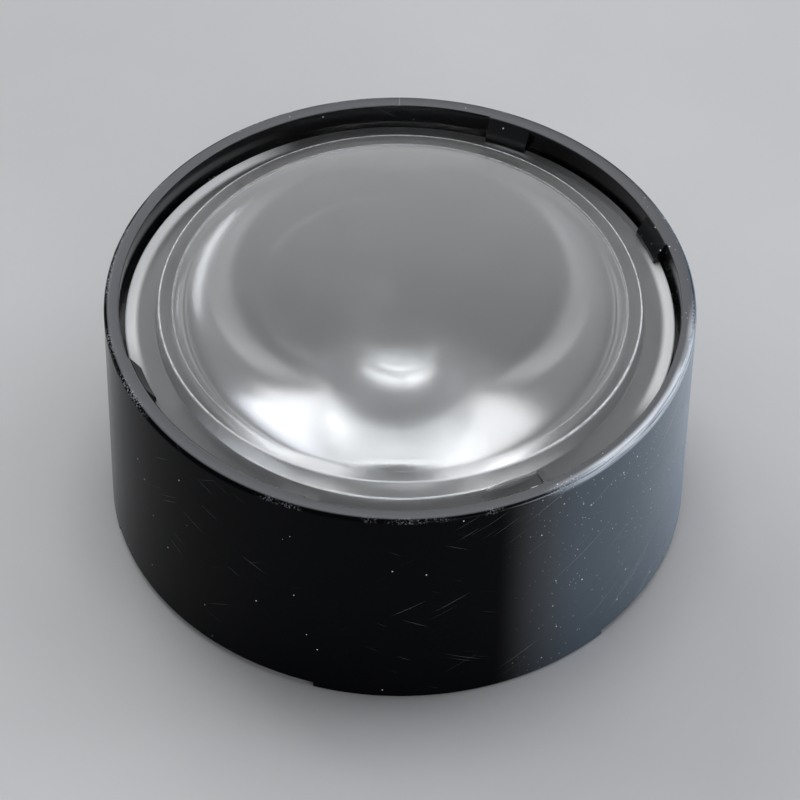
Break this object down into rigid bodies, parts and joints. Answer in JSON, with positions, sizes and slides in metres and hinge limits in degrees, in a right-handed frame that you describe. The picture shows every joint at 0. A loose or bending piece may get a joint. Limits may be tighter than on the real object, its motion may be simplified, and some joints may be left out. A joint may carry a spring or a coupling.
{
  "type": "led lens",
  "caption": "Clear moulded collimating lens for a power LED, clipped by snap hooks into a black moulded cylindrical holder with a round LED aperture in its base.",
  "frame": {"origin": "on the optical axis, in the plane of the holder's feet", "axes": "+Z along the optical axis, out of the lens's exit face; +X and +Y across it"},
  "size_m": [0.0216, 0.0216, 0.0097],
  "materials": {
    "black_polycarbonate": "glossy moulded black polycarbonate",
    "clear_acrylic": "clear moulded acrylic with a satin exit face"
  },
  "bodies": {
    "root": {"holder": "black_polycarbonate", "lens": "clear_acrylic"}
  },
  "joints": []
}
